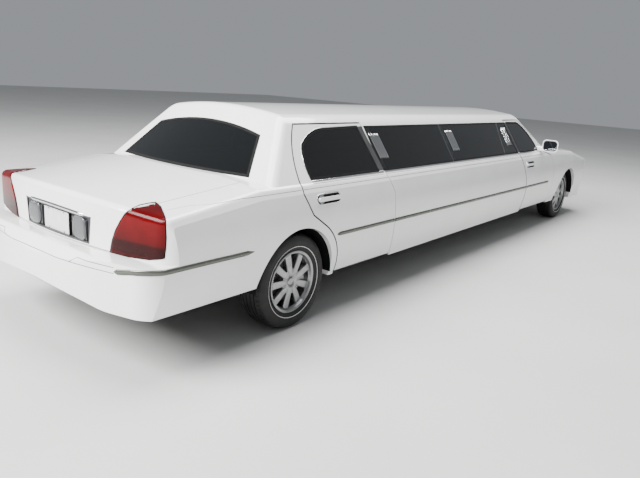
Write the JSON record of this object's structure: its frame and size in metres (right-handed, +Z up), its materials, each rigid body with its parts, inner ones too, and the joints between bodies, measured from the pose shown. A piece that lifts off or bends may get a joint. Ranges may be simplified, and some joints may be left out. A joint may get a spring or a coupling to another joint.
{
  "type": "stretch limousine",
  "caption": "Long-wheelbase stretched saloon car with opening doors, hood and trunk lid, steered front wheels and wheels that roll.",
  "frame": {"origin": "on the ground, halfway along the car and on its centre line", "axes": "+X forward, +Y to the car's left, +Z up"},
  "size_m": [8.519, 2.315, 1.5279],
  "materials": {
    "paint": "glossy",
    "dark_paint": "satin",
    "chrome_trim": "polished",
    "tinted_glass": "glossy",
    "screen_glass": "glossy",
    "red_lens": "glossy",
    "clear_lens": "glossy",
    "frame_steel": "matt",
    "engine_iron": "rough",
    "axle_iron": "rough",
    "seat_leather": "satin",
    "trim_plastic": "matt",
    "cabinet_wood": "glossy",
    "brushed_steel": "satin",
    "alloy": "satin",
    "tyre": "matt"
  },
  "bodies": {
    "root": {"roof_panel": "paint", "quarter_panels": "paint", "side_panels": "paint", "windshield_frame": "paint", "nose_panel": "paint", "front_fenders": "paint", "rear_bumper": "paint", "front_bumper": "paint", "side_glass": "tinted_glass", "rear_window": "tinted_glass", "windshield": "screen_glass", "tail_lamps": "red_lens", "headlamps": "clear_lens", "grille": "chrome_trim", "floor_pan": "dark_paint", "chassis_frame": "frame_steel", "engine_block": "engine_iron", "driveline": "axle_iron", "exhaust": "brushed_steel", "front_suspension": "frame_steel", "front_seats": "seat_leather", "lounge_seats": "seat_leather", "bar_cabinet": "cabinet_wood", "dashboard": "trim_plastic"},
    "door_front_left": {"door_front_left": "paint", "door_glass_front_left": "tinted_glass"},
    "door_front_right": {"door_front_right": "paint", "door_glass_front_right": "tinted_glass"},
    "door_rear_left": {"door_rear_left": "paint", "door_glass_rear_left": "tinted_glass"},
    "door_rear_right": {"door_rear_right": "paint", "door_glass_rear_right": "tinted_glass"},
    "hood": {"hood": "paint"},
    "trunk_lid": {"trunk_lid": "paint", "plate_housing": "chrome_trim"},
    "knuckle_left": {"knuckle_left": "axle_iron"},
    "knuckle_right": {"knuckle_right": "axle_iron"},
    "wheel_rear_left": {"rim_rear_left": "alloy", "tyre_rear_left": "tyre"},
    "wheel_rear_right": {"rim_rear_right": "alloy", "tyre_rear_right": "tyre"},
    "wheel_front_left": {"rim_front_left": "alloy", "tyre_front_left": "tyre"},
    "wheel_front_right": {"rim_front_right": "alloy", "tyre_front_right": "tyre"}
  },
  "joints": [
    {"name": "door_rear_left_hinge", "type": "hinge", "parent": "root", "child": "door_rear_left", "pos_m": [-1.606, 0.997, 0.7], "axis": [0, 0, -1], "range_deg": [0, 62]},
    {"name": "door_front_left_hinge", "type": "hinge", "parent": "root", "child": "door_front_left", "pos_m": [2.474, 0.997, 0.7], "axis": [0, 0, -1], "range_deg": [0, 62]},
    {"name": "door_rear_right_hinge", "type": "hinge", "parent": "root", "child": "door_rear_right", "pos_m": [-1.606, -0.997, 0.7], "axis": [0, 0, 1], "range_deg": [0, 62]},
    {"name": "door_front_right_hinge", "type": "hinge", "parent": "root", "child": "door_front_right", "pos_m": [2.474, -0.997, 0.7], "axis": [0, 0, 1], "range_deg": [0, 62]},
    {"name": "hood_hinge", "type": "hinge", "parent": "root", "child": "hood", "pos_m": [2.385, 0, 1.086], "axis": [0, -1, 0], "range_deg": [0, 50]},
    {"name": "trunk_hinge", "type": "hinge", "parent": "root", "child": "trunk_lid", "pos_m": [-3.13, 0, 1.105], "axis": [0, 1, 0], "range_deg": [0, 70]},
    {"name": "steer_left", "type": "hinge", "parent": "root", "child": "knuckle_left", "pos_m": [3.168, 0.777, 0.35], "axis": [0, 0, 1], "range_deg": [-32, 32]},
    {"name": "wheel_front_left_spin", "type": "hinge", "parent": "knuckle_left", "child": "wheel_front_left", "pos_m": [3.168, 0.797, 0.35], "axis": [0, 1, 0], "continuous": true},
    {"name": "wheel_rear_left_spin", "type": "hinge", "parent": "root", "child": "wheel_rear_left", "pos_m": [-2.87, 0.83, 0.35], "axis": [0, 1, 0], "continuous": true},
    {"name": "steer_right", "type": "hinge", "parent": "root", "child": "knuckle_right", "pos_m": [3.168, -0.777, 0.35], "axis": [0, 0, 1], "range_deg": [-32, 32]},
    {"name": "wheel_front_right_spin", "type": "hinge", "parent": "knuckle_right", "child": "wheel_front_right", "pos_m": [3.168, -0.797, 0.35], "axis": [0, 1, 0], "continuous": true},
    {"name": "wheel_rear_right_spin", "type": "hinge", "parent": "root", "child": "wheel_rear_right", "pos_m": [-2.87, -0.83, 0.35], "axis": [0, 1, 0], "continuous": true}
  ],
  "couplings": [
    {"joint": "steer_right", "follows": "steer_left", "ratio": 1}
  ]
}
